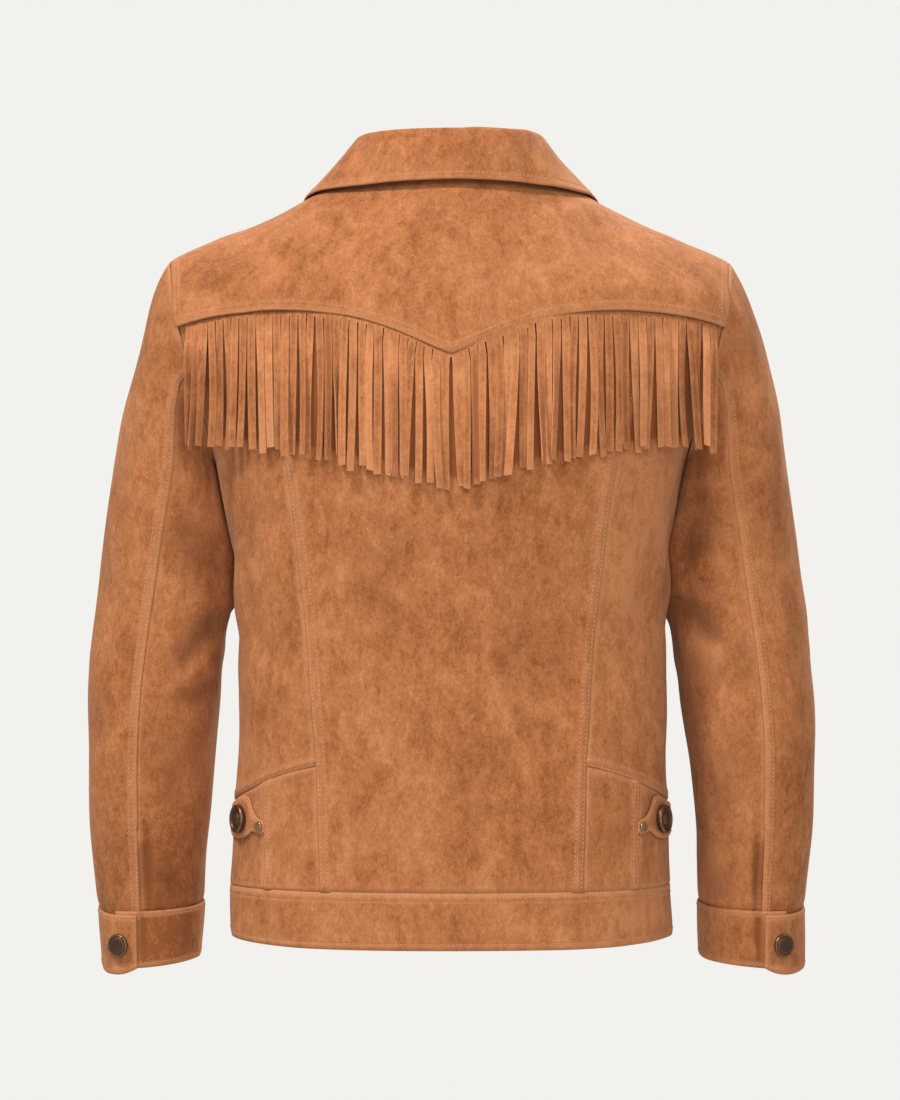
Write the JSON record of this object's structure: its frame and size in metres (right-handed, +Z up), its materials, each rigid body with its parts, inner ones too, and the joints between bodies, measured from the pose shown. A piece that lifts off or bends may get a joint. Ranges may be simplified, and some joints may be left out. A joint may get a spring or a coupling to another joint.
{
  "type": "fringed buckskin jacket",
  "caption": "Hip-length suede jacket in its worn shape: folded collar, scalloped back yoke with hanging strip fringe, two-piece sleeves, snap cuffs, hip tabs and a hem band.",
  "frame": {"origin": "middle of the neck hole at the height where the shoulder ridge meets the neck, where the wearer's neck and shoulders hold the jacket", "axes": "+Z up, front of the jacket faces -Y, back faces +Y, the wearer's left is +X"},
  "size_m": [0.6222, 0.2507, 0.7158],
  "materials": {
    "suede": "matte brushed suede nap",
    "fringe_suede": "matte suede, raw cut edges",
    "antique_bronze": "dark antique bronze, satin",
    "old_brass": "worn brass, satin"
  },
  "bodies": {
    "root": {"back_center_panel": "suede", "back_hip_panel_left": "suede", "back_hip_panel_right": "suede", "back_side_panel_left": "suede", "back_side_panel_right": "suede", "back_yoke": "suede", "collar": "suede", "cuff_left": "suede", "cuff_right": "suede", "front_left": "suede", "front_right": "suede", "hem_band": "suede", "hip_tab_left": "suede", "hip_tab_right": "suede", "side_hip_panel_left": "suede", "side_hip_panel_right": "suede", "sleeve_under_left": "suede", "sleeve_under_right": "suede", "sleeve_upper_left": "suede", "sleeve_upper_right": "suede", "fringe": "fringe_suede", "cuff_snap_left": "antique_bronze", "cuff_snap_right": "antique_bronze", "hip_button_left": "antique_bronze", "hip_button_right": "antique_bronze", "front_button_1": "antique_bronze", "front_button_2": "antique_bronze", "front_button_3": "antique_bronze", "front_button_4": "antique_bronze", "front_button_5": "antique_bronze", "hip_stud_left": "old_brass", "hip_stud_right": "old_brass"}
  },
  "joints": []
}
